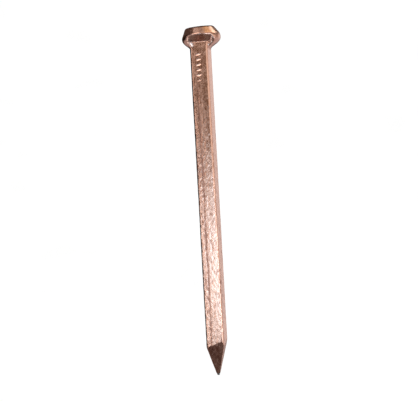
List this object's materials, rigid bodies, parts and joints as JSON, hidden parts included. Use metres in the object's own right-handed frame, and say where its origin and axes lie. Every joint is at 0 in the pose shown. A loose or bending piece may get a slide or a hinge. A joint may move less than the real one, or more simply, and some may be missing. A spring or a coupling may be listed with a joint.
{
  "type": "nail",
  "caption": "Square-shanked wire nail with a bevelled round head, slanted gripper marks under the head and a four-faced point, coated in copper.",
  "frame": {"origin": "centre of the strike face on top of the head", "axes": "+Z out of the strike face, away from the point; the shank's flat faces look along X and Y, and the front face with the gripper marks looks along -Y"},
  "size_m": [0.007, 0.0068, 0.0635],
  "materials": {
    "core_steel": "drawn and forged wire, satin, seen only at the bare tip",
    "copper_coat": "rough satin copper, finely pitted and sparkling, darker in the recesses and bright along the edges"
  },
  "bodies": {
    "root": {"steel_core": "core_steel", "copper_plating": "copper_coat"}
  },
  "joints": []
}
